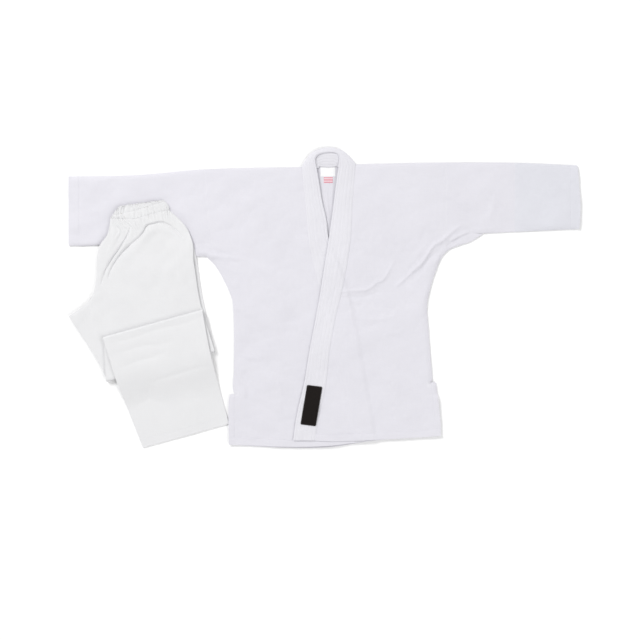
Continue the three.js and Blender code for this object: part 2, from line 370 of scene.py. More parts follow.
def nearest(points, others):
    """From each point to the nearest of the others."""
    tree = KDTree(len(others))
    for i, (x, y) in enumerate(others):
        tree.insert((x, y, 0), i)
    tree.balance()
    return np.array([tree.find((x, y, 0))[2] for x, y in points])


def thinned(points, gap):
    """Which points to keep so that no two are closer than about a gap."""
    seen, keep = set(), []
    for i, cell in enumerate(map(tuple, np.round(points / gap).astype(int))):
        if cell not in seen:
            seen.add(cell)
            keep.append(i)
    return keep


def least_rectangle(points):
    """Width and length of the smallest rectangle of cloth that a cut comes out of."""
    sizes = []
    for turn in np.radians(np.arange(0, 90, 3)):
        c, s = math.cos(turn), math.sin(turn)
        sizes.append(np.ptp(points @ np.array([[c, -s], [s, c]]), axis=0))
    return tuple(float(side) for side in min(sizes, key=np.prod))


def seams_between(outlines, loop):
    """The edges of the outlines that lie inside the loop, each once."""
    seams = []
    for outline in outlines:
        for a, b in zip(*edges_of(outline)):
            checks = np.array([a * (1 - t) + b * t for t in (0.2, 0.5, 0.8)])
            if segment_distance(checks, *edges_of(loop)).min() < 1.2 * MM:
                continue
            if seams and segment_distance(checks, *zip(*seams)).max() < MM:
                continue
            seams.append(np.array([a, b]))
    return seams


class Layer:
    """One layer of cloth over several CAD nodes: a single surface, cut into pieces along its seams."""

    def __init__(self, parts, height, step, move, details):
        outlines = [one_outline([move(top_outline(node)) for node in one["nodes"]]) for one in parts.values()]
        loop = smoothed(joined(outlines), step)
        self.seams = seams_between(outlines, loop)
        flat, triangles = triangulate(loop, step, self.seams, details)
        seam_depth = segment_distance(flat, *zip(*self.seams)) if self.seams else np.full(len(flat), FAR)
        self.points, self.triangles = height(flat, seam_depth), triangles
        self.normals = vertex_normals(self.points, triangles)
        depths = np.stack([depth_in(flat[triangles].mean(1), outline) for outline in outlines])
        self.owner = np.array(list(parts))[depths.argmax(0)]
        self.tree = BVHTree.FromPolygons(self.points.tolist(), triangles.tolist())

    def cut(self, name, thickness, material, held="laid", rests_on=(), node=None, also=(), **going):
        """Add the closed piece that has the name in this layer and in the other layers also given."""
        skins, faces, area, first = [], [], 0.0, 0
        for layer in (self, *also):
            mine = layer.triangles[layer.owner == name]
            skin, around = thicken(layer.points, layer.normals, mine, thickness)
            skins.append(skin)
            faces += [[first + corner for corner in face] for face in around]
            first += len(skin)
            area += surface_area(layer.points, mine)
        skin = np.concatenate(skins)
        piece = add_mesh(name, skin, faces, material, node=node, **going)
        width, length = sorted(least_rectangle(skin[:, :2]))
        if area > 0.95 * width * length:
            width *= 1.06 * area / (width * length)      # gathered, so the cut is wider than it lies
        list(rests_on)

    def on_top(self, path, lift):
        """Places at a distance above the layer, over the points of a path."""
        found = [self.tree.ray_cast(Vector((x, y, 0.2)), Vector((0, 0, -1))) for x, y in path]
        return np.array([place + up * math.copysign(lift, up.z) for place, up, *_ in found if place])


# ---------------------------------------------------------------- materials

class Nodes:
    """A material's node tree, built a node at a time."""

    def __init__(self, name):
        self.material = bpy.data.materials.new(name)
        self.material.use_nodes = True
        self.tree = self.material.node_tree
        self.shader = self.tree.nodes["Principled BSDF"]
        self.place = self.add("ShaderNodeTexCoord").outputs["Object"]

    def add(self, kind, inputs=None, **settings):
        node = self.tree.nodes.new(kind)
        for key, value in settings.items():
            setattr(node, key, value)
        for key, value in (inputs or {}).items():
            if isinstance(value, bpy.types.NodeSocket):
                self.tree.links.new(value, node.inputs[key])
            else:
                node.inputs[key].default_value = value
        return node

    def math(self, operation, a, b):
        return self.add("ShaderNodeMath", {0: a, 1: b}, operation=operation).outputs[0]

    def scaled(self, value, by, plus):
        return self.math("ADD", self.math("MULTIPLY", value, by), plus)

    def turned(self, degrees, scale=(1, 1, 1)):
        inputs = {"Vector": self.place, "Rotation": (0, 0, math.radians(degrees)), "Scale": scale}
        return self.add("ShaderNodeMapping", inputs).outputs[0]

    def noise(self, place, scale, detail=3.0, roughness=0.55):
        inputs = {"Vector": place, "Scale": scale, "Detail": detail, "Roughness": roughness}
        return self.add("ShaderNodeTexNoise", inputs).outputs["Fac"]

    def threads(self, place, period, direction):
        """Ridges a period apart."""
        inputs = {"Vector": place, "Scale": math.pi / 10 / period, "Distortion": 0.0}
        settings = {"wave_type": "BANDS", "bands_direction": direction}
        return self.add("ShaderNodeTexWave", inputs, **settings).outputs["Fac"]

    def ramp(self, value, stops):
        node = self.add("ShaderNodeValToRGB", {"Fac": value})
        while len(node.color_ramp.elements) < len(stops):
            node.color_ramp.elements.new(0.5)
        for element, (at, colour) in zip(node.color_ramp.elements, stops):
            element.position = at
            element.color = (*colour, 1)
        return node.outputs["Color"]

    def bump(self, height, strength, reach, below=None):
        inputs = {"Height": height, "Strength": strength, "Distance": reach}
        if below:
            inputs["Normal"] = below
        return self.add("ShaderNodeBump", inputs).outputs["Normal"]

    def finish(self, colour, normal, roughness, **sockets):
        self.tree.links.new(colour, self.shader.inputs["Base Color"])
        self.tree.links.new(normal, self.shader.inputs["Normal"])
        self.tree.links.new(roughness, self.shader.inputs["Roughness"])
        for key, value in sockets.items():
            self.shader.inputs[key.replace("_", " ")].default_value = value
        return self.material


def shade(colour, by):
    """A lighter or darker colour."""
    return tuple(min(1.0, c * by) for c in colour)


def woven(name, colour, period, turn=0.0, twill=False, depth=0.85, sheen=0.12, variation=0.035):
    """Cotton cloth: warp and weft ridges, thicker and thinner yarns, soft uneven whiteness and loose fuzz."""
    nodes = Nodes(name)
    place = nodes.turned(turn)
    warp = nodes.threads(place, period, "DIAGONAL" if twill else "X")
    weft = nodes.threads(place, period, "Y")
    weave = nodes.math("MULTIPLY", nodes.math("ADD", warp, weft), 0.5)
    slub_x = nodes.noise(nodes.turned(turn, (1, 14, 1)), 28)
    slub_y = nodes.noise(nodes.turned(turn, (14, 1, 1)), 28)
    slubs = nodes.math("MULTIPLY", nodes.math("ADD", slub_x, slub_y), 0.5)
    fuzz = nodes.noise(place, 1600, 2.0)
    cloudy = nodes.noise(place, 7, 4.0, 0.6)
    tone = nodes.scaled(weave, 0.15, nodes.scaled(slubs, 0.35, nodes.math("MULTIPLY", cloudy, 0.5)))
    stops = [(0.28, shade(colour, 1 - variation)), (0.5, colour), (0.72, shade(colour, 1 + variation * 0.7))]
    normal = nodes.bump(slubs, 0.25, 0.5 * MM)
    normal = nodes.bump(weave, depth, 0.22 * MM, normal)
    normal = nodes.bump(fuzz, 0.12, 0.15 * MM, normal)
    roughness = nodes.scaled(fuzz, 0.12, 0.84)
    gloss = {"Sheen_Weight": sheen, "Sheen_Roughness": 0.5, "Specular_IOR_Level": 0.25}
    return nodes.finish(nodes.ramp(tone, stops), normal, roughness, **gloss)


def satin(name, colour, stripes=None):
    """A label's satin: fine floats along one way, with plain stripes across if a second colour is given."""
    nodes = Nodes(name)
    place = nodes.turned(0)
    floats = nodes.threads(place, 0.45 * MM, "X")
    cross = nodes.threads(place, 0.8 * MM, "Y")
    weave = nodes.scaled(floats, 0.7, nodes.math("MULTIPLY", cross, 0.3))
    if stripes:
        ground = nodes.threads(place, 4.4 * MM, "Y")
        base = nodes.ramp(ground, [(0.36, colour), (0.44, stripes), (1.0, shade(stripes, 0.93))])
    else:
        cloudy = nodes.noise(place, 60)
        base = nodes.ramp(cloudy, [(0.3, shade(colour, 0.97)), (0.7, colour)])
    normal = nodes.bump(weave, 0.35, 0.12 * MM)
    roughness = nodes.scaled(weave, 0.15, 0.38)
    return nodes.finish(base, normal, roughness, Sheen_Weight=0.1, Sheen_Roughness=0.35)


def thread(name, colour):
    """Plied sewing thread: fine slanting ridges and slight unevenness."""
    nodes = Nodes(name)
    place = nodes.turned(0)
    plies = nodes.threads(place, 0.5 * MM, "DIAGONAL")
    uneven = nodes.noise(place, 220)
    base = nodes.ramp(uneven, [(0.3, shade(colour, 0.95)), (0.7, shade(colour, 1.03))])
    roughness = nodes.scaled(uneven, 0.15, 0.6)
    normal = nodes.bump(plies, 0.5, 0.15 * MM)
    return nodes.finish(base, normal, roughness, Sheen_Weight=0.15, Sheen_Roughness=0.4)


leg_place, leg_way, up_leg = hinge_line("legs_unfold")
LEG_TURN = math.degrees(math.atan2(leg_way[1], leg_way[0]))
JACKET_WHITE = (0.735, 0.725, 0.775)
BAND_WHITE = (0.75, 0.742, 0.785)
# A darker copy of the jacket's white for the left sleeve's end and cuff: painted shade, where the light falls
# off towards the end of the sleeve.
SLEEVE_END_SHADE = (0.712, 0.714, 0.764)
TROUSER_WHITE = (0.765, 0.765, 0.775)
PATCH_BLACK = (0.0062, 0.0038, 0.003)
ELASTIC_GREY = (0.62, 0.6, 0.56)
jacket_cloth = woven("jacket_canvas", JACKET_WHITE, 1.0 * MM)
sleeve_end_shaded_cloth = woven("canvas_painted_shade", SLEEVE_END_SHADE, 1.0 * MM)
band_cloth = woven("band_canvas", BAND_WHITE, 1.0 * MM)
trouser_cloth = woven("trouser_drill", TROUSER_WHITE, 0.8 * MM, turn=-LEG_TURN, twill=True)
patch_cloth = woven("black_twill", PATCH_BLACK, 1.1 * MM, turn=12, twill=True, sheen=0.05, variation=0.3)
elastic_cloth = woven("elastic_rib", ELASTIC_GREY, 1.6 * MM, turn=-LEG_TURN, depth=0.9)
label_satin = satin("label_satin", (0.9, 0.9, 0.91))
tab_satin = satin("tab_satin", (0.86, 0.8, 0.82), stripes=(0.72, 0.22, 0.3))
white_thread = thread("white_thread", (0.8, 0.795, 0.83))
black_thread = thread("black_thread", (0.018, 0.014, 0.013))


# ---------------------------------------------------------------- the jacket's shape

BACK_NODES = [
    "back_panel_right", "back_panel_left", "back_hem", "right_vent_facing_back", "left_vent_facing_back",
    "right_sleeve_back", "right_cuff_hem_back", "left_upper_sleeve_back", "left_forearm_back",
    "left_sleeve_end_back", "left_cuff_hem_back", "right_underarm_gusset", "left_underarm_gusset",
]
silhouette = smoothed(joined([top_outline(node) for node in BACK_NODES]), 7 * MM)
cuff_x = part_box("left_cuff_hem_back")[1][0] - 9 * MM
vent_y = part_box("right_vent_facing_back")[1][1]
armhole_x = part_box("left_upper_sleeve_front")[0][0]
neck_left, neck_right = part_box("left_lapel_upper")[1][0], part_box("right_lapel")[0][0]
neck_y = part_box("neck_label")[1][1]
chest_y = 165 * MM         # where the two lapels cross


def stretches(outline, test):
    """Where the edges of an outline start and end, for the edges whose middles pass a test."""
    starts, ends = edges_of(outline)
    kept = test(*((starts + ends) / 2).T)
    return starts[kept], ends[kept]


def sewn(x, y):
    """Where the front and the back of the jacket are joined: at the shoulders, sleeves and sides."""
    at_neck = (x > neck_right) & (x < neck_left) & (y > neck_y - 10 * MM)
    return (abs(x) <= cuff_x) & (y >= vent_y) & ~at_neck


SEWN = stretches(silhouette, sewn)
SEAM_Z = 2.6 * MM          # the height of the sewn edges
right_nodes = ("right_front_panel", "right_lapel", "right_front_hem")
right_half = smoothed(joined([top_outline(node) for node in right_nodes]), 9 * MM)
right_band = smoothed(top_outline("right_lapel"), 9 * MM)
trouser_print = joined([top_outline("left_thigh_back"), top_outline("waistband_left")])

# Creases in the jacket, as paths in mm with a height and a width in mm.
JACKET_CREASES = [
    ([(30, 17), (84, 20), (122, 22), (147, 45), (164, 48), (186, 87), (196, 104)], 2.8, 4.5),
    ([(40, 2), (104, 0), (150, 14), (176, 40)], -1.6, 6),
    ([(57, -14), (110, -24), (160, -20), (200, -38)], -1.3, 10),
    ([(57, -50), (110, -60), (170, -58), (214, -52)], 1.3, 8),
    ([(190, 24), (222, 52), (256, 84), (273, 98), (304, 148), (326, 157), (363, 190), (384, 206)], 4.2, 5),
    ([(200, 12), (238, 50), (272, 78), (300, 118), (330, 140)], -2.4, 6),
    ([(206, 60), (246, 104), (276, 138), (306, 176)], 1.6, 8),
    ([(340, 146), (366, 158), (391, 171), (435, 178)], -3.6, 4),
    ([(352, 160), (380, 176), (404, 186)], 2.8, 4.5),
    ([(338, 128), (362, 140), (392, 153)], 2.4, 4.5),
    ([(-363, 120), (-300, 116), (-217, 106)], 3.0, 5),
    ([(-345, 140), (-290, 128), (-240, 92)], -2.0, 7),
    ([(-300, 100), (-262, 76), (-222, 66)], 1.6, 7),
    ([(-243, -204), (-231, -230), (-223, -252), (-223, -280)], 2.6, 5),
    ([(-228, -204), (-214, -240), (-208, -290)], -1.6, 8),
    ([(-236, -160), (-196, -170), (-160, -160)], 1.6, 6),
    ([(-200, 40), (-150, 20), (-110, -10)], 1.2, 10),
    ([(-190, -70), (-120, -84), (-70, -80)], 1.1, 9),
    ([(120, -90), (190, -100), (240, -86)], 1.3, 8),
    ([(160, -180), (200, -240), (214, -310)], 1.3, 10),
    ([(-140, -200), (-120, -270), (-130, -330)], 1.1, 10),
    ([(250, 300), (330, 290), (400, 300)], 1.2, 12),
    ([(440, 200), (470, 240), (480, 300)], 1.4, 9),
    ([(560, 330), (610, 300), (660, 300)], 1.2, 11),
    ([(-300, 300), (-240, 270), (-180, 270)], 1.1, 12),
    ([(-620, 200), (-560, 210), (-520, 250)], 1.2, 11),
]
# Fine creases in the back panel, seen in the neck opening, and the opening's outline in mm.
NECK_CREASES = [
    ([(3, 316), (8, 270), (12, 215)], 1.2, 4),
    ([(14, 322), (17, 270), (15, 230)], -1.0, 4),
    ([(22, 318), (22, 280), (18, 240)], 1.0, 3.5),
]
NECK_OPENING = [(12, 165), (25, 260), (39, 366), (41, 404), (10, 406), (-28, 396), (-22, 361), (-7, 272)]

# How the middle of each layer of the jacket stands over what is below it.
LOWEST = 0.62 * MM         # the least height of the back's middle
FRONT_LIFT = 1.3 * MM      # front over back, without the air between them
CANVAS_ROOM = 0.6 * MM     # front over back where they are sewn together
LEFT_LIFT = 1.2 * MM       # left front over right front
AIR = 3.4 * MM             # between front and back, on average
AIR_SWELLS = [(1.2, 0.19, 1), (0.55, 0.07, 2), (0.2, 0.028, 5)]
FLAT_NECK = 0.72           # the share of the air that is missing at the neck
LEAST_AIR = 0.8 * MM       # the least room between front and back, as under the folded trousers
FRONT_STEP = 1.2 * MM      # the right front, seen through the left one
BAND_STEP = 2.4 * MM       # the right lapel, seen through the left front


def crease_lines(creases):
    """Rows of points beside creases, close enough to hold their shape."""
    lines = []
    for path, _, width in creases:
        path = along(cut_corners(np.array(path) * MM), min(4.0, 0.9 * width) * MM)
        lines += [beside(path, share * width * MM) for share in (-1.6, -0.9, -0.4, 0, 0.4, 0.9, 1.6)]
    return lines


def creased(points, creases):
    """The height that creases add."""
    return sum(crease(points, path, height * MM, width * MM) for path, height, width in creases)


def pressed(points):
    """1 under the folded trousers, fading out beyond them."""
    return ease(depth_in(points, trouser_print), -22 * MM, 4 * MM)


def dip(seam_depth, by=0.3 * MM):
    """A seam pulls the cloth in."""
    return by * np.exp(-((seam_depth / (1.3 * MM)) ** 2))


def puff(points):
    """How far the front stands off the back because of the air between them."""
    near_neck = ease(depth_in(points, np.array(NECK_OPENING) * MM), -75 * MM, -4 * MM)
    air = swelling(points, AIR, AIR_SWELLS) + creased(points, JACKET_CREASES)
    air = np.maximum(air * (1 - FLAT_NECK * near_neck), LEAST_AIR)
    return air + (LEAST_AIR - air) * pressed(points)


def back_rest(points):
    """The back, nearly flat on the floor."""
    rest = 0.9 * MM + 0.35 * MM * np.maximum(waves(points, 0.11, 3), 0)
    return rest + creased(points, NECK_CREASES) * 0.7


def rolled(points, rest):
    """Bring a layer to the sewn edges of the garment."""
    depth = segment_distance(points, *SEWN)
    return SEAM_Z + (rest - SEAM_Z) * round_over(depth, EDGE_ROLL)


def inner_rest(points):
    """The right front, and the sleeves' front, on the back."""
    return back_rest(points) + FRONT_LIFT + puff(points)


def outer_rest(points):
    """The left front lies on the right one, whose lapel shows through as a low step."""
    on_front = ease(depth_in(points, right_half), -9 * MM, 5 * MM)
    on_band = ease(depth_in(points, right_band), -8 * MM, 3 * MM)
    below_neck = ease(chest_y - points[:, 1], -20 * MM, 60 * MM)
    return inner_rest(points) + LEFT_LIFT + FRONT_STEP * on_front + BAND_STEP * on_band * below_neck


def back_height(points, seam_depth):
    """The back, drawn up to the front at the sewn edges."""
    rest = rolled(points, np.maximum(back_rest(points), 0.7 * MM))
    return np.c_[points, np.maximum(rest - dip(seam_depth, 0.2 * MM), LOWEST)]


def front_height(points, seam_depth):
    """The right front and sleeve, drawn down to the back at the sewn edges."""
    rest = rolled(points, inner_rest(points)) + CANVAS_ROOM
    return np.c_[points, rest - dip(seam_depth)]


def left_height(points, seam_depth):
    """The left front, which at the armhole comes down to the height of the sleeve."""
    rest = rolled(points, outer_rest(points)) + CANVAS_ROOM
    sleeve = ease(points[:, 0], armhole_x - 30 * MM, armhole_x + 30 * MM)
    plain = rolled(points, inner_rest(points)) + CANVAS_ROOM
    return np.c_[points, rest + (plain - rest) * sleeve - dip(seam_depth)]


def across(name, side, reach, parent, child):
    """The words of a blend across a hinge, where side points to the child."""
    where, side = hinge_line(name)[0], np.array([*side, 0.0])
    return parent, child, tuple(where - side * reach), tuple(where + side * reach)


def fold_lines(name, low, high, reach, count=7):
    """Lines of points beside a hinge, where the cloth has to bend."""
    where, way, side = hinge_line(name)
    ends = np.array([where[:2] + way * low, where[:2] + way * high])
    return [along(ends + side * by, 5 * MM) for by in np.linspace(-reach, reach, count)]


FLAP_REACH, ELBOW_REACH = 7 * MM, 13 * MM      # half as wide as the stretch of cloth that bends
flap_side = hinge_line("left_front_open")[2]
flap_bend = across("left_front_open", flap_side, FLAP_REACH, "jacket", "left_front")
elbow_bend = across("left_forearm_fold", (1, 0), ELBOW_REACH, "jacket", "left_forearm")
flap_lines = fold_lines("left_front_open", -0.02, 0.81, FLAP_REACH)
elbow_lines = fold_lines("left_forearm_fold", -0.13, 0.13, ELBOW_REACH, 9)


def part(*nodes, later=False, **facts):
    """A piece's CAD nodes and the facts that only it has; a later one is cut with a layer further up."""
    return {"nodes": nodes, "later": later, "facts": facts}


def lay(parts, height, step, move=lambda p: p, details=(), **settings):
    """A layer with its pieces cut, each as its own facts say and otherwise as the settings do."""
    layer = Layer(parts, height, step, move, details)
    for name, one in parts.items():
        if not one["later"]:
            layer.cut(name, node=one["nodes"], **{**settings, **one["facts"]})
    return layer


def sides(face):
    """The pieces of one face of the left sleeve."""
    # The sleeve's end and cuff get the darker canvas, which is painted shade.
    end = {"body": "left_forearm", "material": sleeve_end_shaded_cloth}
    return {
        f"left_sleeve_{face}": part(f"left_upper_sleeve_{face}", f"left_forearm_{face}", bend=elbow_bend),
        f"left_sleeve_end_{face}_cloth": part(f"left_sleeve_end_{face}", **end),
        f"left_cuff_{face}": part(f"left_cuff_hem_{face}", thickness=HEM, **end),
    }


trim = {"thickness": HEM}
common = {"material": jacket_cloth, "thickness": CANVAS, "body": "jacket"}
back = lay({
    "back_right": part("back_panel_right"),
    "back_left": part("back_panel_left"),
    "back_hem_fold": part("back_hem", **trim),
    "right_vent_back": part("right_vent_facing_back", **trim),
    "left_vent_back": part("left_vent_facing_back", **trim),
    "right_sleeve_back_cloth": part("right_sleeve_back"),
    "right_cuff_back": part("right_cuff_hem_back", **trim),
    "right_gusset": part("right_underarm_gusset", later=True),
    "left_gusset": part("left_underarm_gusset", later=True),
    **sides("back"),
}, back_height, 8 * MM, details=[*elbow_lines, *crease_lines(NECK_CREASES)], **common)
right = lay({
    "right_front": part("right_front_panel"),
    "right_hem_fold": part("right_front_hem", **trim),
    "right_vent_front": part("right_vent_facing_front", **trim),
    "right_sleeve_front_cloth": part("right_sleeve_front"),
    "right_cuff_front": part("right_cuff_hem_front", **trim),
    "right_gusset": part("right_underarm_gusset", also=[back]),
}, front_height, 6 * MM, rests_on=["back_right"], **common)
left = lay({
    "left_front": part("left_front_side", "left_front_flap", bend=flap_bend),
    "left_hem_fold": part("left_side_hem", "left_flap_hem", bend=flap_bend, thickness=HEM),
    "left_vent_front": part("left_vent_facing_front", **trim),
    "left_gusset": part("left_underarm_gusset", also=[back]),
    **sides("front"),
}, left_height, 6 * MM, details=[*flap_lines, *elbow_lines, *crease_lines(JACKET_CREASES)],
    rests_on=["right_front"], **common)


# ---------------------------------------------------------------- collar and lapels

ROWS = (0.12, 0.3, 0.48, 0.66, 0.86)     # where the rows of quilting lie between the two edges of a band
GROOVES = (1.0, 0.5, 0.5, 0.5, 0.6)      # how deep each of them is, in mm
ACROSS = np.unique(np.round(np.r_[np.linspace(0, 1, 21), [r + d for r in ROWS for d in (-0.03, 0, 0.03)]], 4))
BAND = 3.2 * MM                          # how thick a band is


def soft_interpolation(fine, at, values):
    """A cubic through values, flat at their highs and lows, so that a band bends smoothly."""
    slope = np.diff(values) / np.diff(at)
    tangent = np.r_[slope[0], (slope[1:] + slope[:-1]) / 2, slope[-1]]
    tangent[1:-1] = np.where(slope[1:] * slope[:-1] <= 0, 0, tangent[1:-1])
    i = np.clip(np.searchsorted(at, fine, side="right") - 1, 0, len(at) - 2)
    width = at[i + 1] - at[i]
    return cubic((fine - at[i]) / width, values[i], values[i + 1], tangent[i], tangent[i + 1], width)


def outward(points, faces):
    """The faces, turned so that their normals point out of the piece."""
    volume = 0.0
    for face in faces:
        for k in range(1, len(face) - 1):
            volume += points[face[0]] @ np.cross(points[face[k]], points[face[k + 1]])
    return faces if volume > 0 else [tuple(reversed(face)) for face in faces]


def tube(length, around, closed=False):
    """The faces between rings of points that follow one another, and from the last to the first if closed."""
    faces = []
    for i in range(length if closed else length - 1):
        here, there = i * around, (i + 1) % length * around
        for k in range(around):
            j = (k + 1) % around
            faces.append((here + k, there + k, there + j, here + j))
    return faces


def band(name, stations, rest, thickness, node, overlap=2.2 * MM, **going):
    """A stiff quilted band between two edges, which gives its rows of quilting.

    A station is the x and y of the inner edge, the x and y of the outer edge, and how far the inner edge, the
    outer edge and the middle stand above the rest height, all in mm. The overlap widens the outer edge.
    """
    stations = np.array(stations, float) * MM
    middle = (stations[:, :2] + stations[:, 2:4]) / 2
    at = np.r_[0, np.cumsum(np.linalg.norm(np.diff(middle, axis=0), axis=1))]
    fine = np.linspace(0, at[-1], int(at[-1] / (5 * MM)) + 2)
    edge = np.stack([soft_interpolation(fine, at, column) for column in stations.T], 1)[:, None]
    t = ACROSS[:, None]
    edge[..., 2:4] += unit(edge[..., 2:4] - edge[..., :2]) * overlap
    flat = edge[..., :2] * (1 - t) + edge[..., 2:4] * t
    stand = (edge[..., 4:5] * (1 - t) + edge[..., 5:6] * t + edge[..., 6:] * np.sin(math.pi * t))[..., 0]
    level = rest(flat.reshape(-1, 2)).reshape(stand.shape) + stand
    half = thickness / 2 * np.sqrt(np.maximum(1 - np.abs(2 * ACROSS - 1) ** 7, 0.02))
    grooves = [depth * MM * np.exp(-(((ACROSS - row) / 0.024) ** 2)) for row, depth in zip(ROWS, GROOVES)]
    upper = np.dstack([flat, level + half - sum(grooves)])
    lower = np.dstack([flat, level - half])
    ring = np.concatenate([upper, lower[:, ::-1]], 1)
    length, around = ring.shape[:2]
    faces, last = tube(length, around), (length - 1) * around
    for k in range(len(ACROSS) - 1):
        faces.append((k, k + 1, around - 2 - k, around - 1 - k))
        faces.append((last + k + 1, last + k, last + around - 1 - k, last + around - 2 - k))
    points = ring.reshape(-1, 3)
    piece = add_mesh(name, points, outward(points, faces), band_cloth, node=node, **going)
    run = np.linalg.norm(np.diff(upper[:, len(ACROSS) // 2], axis=0), axis=1).sum()
    broad = np.linalg.norm(np.diff(upper, axis=1), axis=2).sum(1)
    flat = float(broad.max()) * 1.02, float(run) * 1.02
    return [upper[:, int(np.abs(ACROSS - row).argmin())] for row in ROWS]


def floor_level(points):
    return np.zeros(len(points))


def right_rest(points):
    """The middle of the right lapel, on the right front."""
    return inner_rest(points) + 1.5 * MM


def left_rest(points):
    """The middle of the left lapel, on the left front."""
    return outer_rest(points) + 1.6 * MM


# From the right hem up the right lapel, round the back of the neck and on to the left shoulder.
right_rows = band("collar_right", [
    (141, -398, 84, -405, 0, 0, 0), (134, -345, 76, -345, 0, 0, 0), (112, -238, 54, -240, 0, 0, 0),
    (96, -160, 36, -160, 0, 0, 0), (80, -75, 16, -75, 0, 0, 0), (62, 27, -12, 27, 0, 0, 0),
    (34, 108, -32, 108, 0, 0, 0), (12, 165, -43, 165, 0, 0, 0.5), (4, 224, -48, 224, 0.6, 0, 0.8),
    (-7, 272, -53, 272, 1.5, 0, 1), (-15, 322, -57, 320, 3.2, 0, 1.2), (-22, 361, -61, 366, 6, 0.5, 1.6),
    (-25.5, 380, -51, 385, 7.4, 1, 2), (-24.5, 392, -41, 398, 8.4, 1.6, 2), (-17, 400, -27, 409, 9.2, 2, 2),
    (-4, 404, -8, 416.5, 9.6, 2, 2), (12, 406, 12, 419, 9.8, 2, 2), (28, 405, 33, 417, 9.6, 2, 2),
    (37, 400, 50, 410, 9.2, 1.8, 2), (41, 392, 63, 400, 8.6, 1.4, 2), (40.5, 380, 76, 387, 7.8, 1, 1.8),
    (39, 366, 86, 372, 6.6, 0.5, 1.6),
], right_rest, BAND, ("right_lapel", "neck_band"), body="jacket")
left_rows = band("collar_left", [
    (39, 366.5, 86, 372.5, 5.3, -0.8, 1.6), (33, 322, 81.5, 326, 3.2, -0.6, 1.2),
    (25, 260, 76, 262, 1.8, -0.3, 1), (12, 165, 71, 167, 0.8, 0, 0.8), (2, 102, 62, 102, 0.3, 0, 0.4),
    (-10, 27, 48, 27, 0.2, 0, 0.3),
    (-24, -52, 29, -52, 0.2, 0, 0.3), (-42, -146, 12, -146, 0.2, 0, 0.3), (-57, -238, 2, -240, 0.2, 0, 0.3),
    (-78, -330, -18, -330, 0.2, 0, 0.3), (-88, -398, -29, -398, 0.2, 0, 0.2),
], left_rest, BAND, ("left_lapel_upper", "left_lapel_flap"), bend=flap_bend)
facing_rows = band("collar_facing", [
    (-24, 362, -15, 364, 7, 3.2, 0), (-28, 384, -13, 368, 9.6, 3.2, 0), (-22, 399, -8, 367, 11, 3.2, 0.4),
    (-6, 406, 0, 366, 12, 3, 0.6), (12, 408.5, 10, 365, 12.2, 3, 0.8), (30, 407, 20, 366, 12, 3, 0.6),
    (41, 398, 28, 367, 11, 3.2, 0.4), (43.5, 384, 33, 368, 9.6, 3.2, 0), (42, 366, 35, 366, 7, 3.2, 0),
], floor_level, 1.4 * MM, "neck_band_facing", overlap=0.0, body="jacket")


# ---------------------------------------------------------------- labels, patch and thread

def rounded(loop, radius):
    """A loop with its corners rounded off."""
    result = []
    for before, here, after in zip(np.roll(loop, 1, 0), loop, np.roll(loop, -1, 0)):
        start, end = here + unit(before - here) * radius, here + unit(after - here) * radius
        for t in np.linspace(0, 1, 6):
            result.append((1 - t) ** 2 * start + 2 * t * (1 - t) * here + t * t * end)
    return np.array(result)


def small_piece(name, node, loop, step, place, thickness, material, body):
    """A small piece of cloth by itself, cut to a loop; place turns flat points into points in space."""
    flat, triangles = triangulate(loop, step)
    points = place(flat)
    skin, faces = thicken(points, vertex_normals(points, triangles), triangles, thickness)
    piece = add_mesh(name, skin, faces, material, body=body, node=node)


def label(name, node, surface, thickness, material, body, corner):
    """A small piece sewn flat on a surface."""
    def place(flat):
        lift = thickness / 2 + 0.25 * MM * (waves(flat, 14 * MM, 8) + 1) / 2
        return np.c_[flat, surface(flat) + lift]

    loop = rounded(top_outline(node), corner)
    small_piece(name, node, loop, 3 * MM, place, thickness, material, body)
    return loop


def piping(name, path, radius, material, pitch, **going):
    """A ribbed tube of close thread along a closed path."""
    path = along(np.r_[path, path[:1]], pitch / 3)[:-1]
    way = unit(np.roll(path, -1, 0) - np.roll(path, 1, 0))
    side = unit(np.cross(way, (0, 0, 1)))
    up = np.cross(side, way)
    count, around = len(path), 8
    swell = 1 + 0.16 * np.cos(2 * math.pi * np.arange(count) / 3)
    turns = 2 * math.pi * np.arange(around) / around
    ring = [path + radius * swell[:, None] * (side * math.cos(t) + up * 0.8 * math.sin(t)) for t in turns]
    points = np.stack(ring, 1).reshape(-1, 3)
    faces = outward(points, tube(count, around, closed=True))
    return add_mesh(name, points, faces, material, **going)


def stitches(name, rows, length=2.5 * MM, gap=1.0 * MM, width=0.36 * MM, **going):
    """One mesh of separate stitches, each a flat diamond, along rows of points in space."""
    middles, ways = [], []
    for row in rows:
        places = along(row, length + gap)
        middles.append((places[1:] + places[:-1]) / 2)
        ways.append(unit(places[1:] - places[:-1]))
    middle, way = np.concatenate(middles), np.concatenate(ways)
    side = unit(np.cross((0, 0, 1), way))
    up = np.cross(way, side)
    corners = [-way * length / 2, way * length / 2, -side * width, side * width]
    corners += [-up * width * 0.5, up * width * 0.6]
    points = np.stack([middle + corner for corner in corners], 1).reshape(-1, 3)
    shape = [(0, 2, 5), (2, 1, 5), (1, 3, 5), (3, 0, 5), (2, 0, 4), (1, 2, 4), (3, 1, 4), (0, 3, 4)]
    faces = [[6 * i + corner for corner in face] for i in range(len(middle)) for face in shape]
    add_mesh(name, points, faces, white_thread, smooth_angle=80, **going)


def back_top(points):
    """The upper face of the back, on which the labels are sewn."""
    return back_height(points, np.full(len(points), 1.0))[:, 2] + CANVAS / 2


def lapel_top(points):
    """The upper face of the left lapel, on which the patch is sewn."""
    return left_rest(points) + 0.3 * MM + BAND / 2


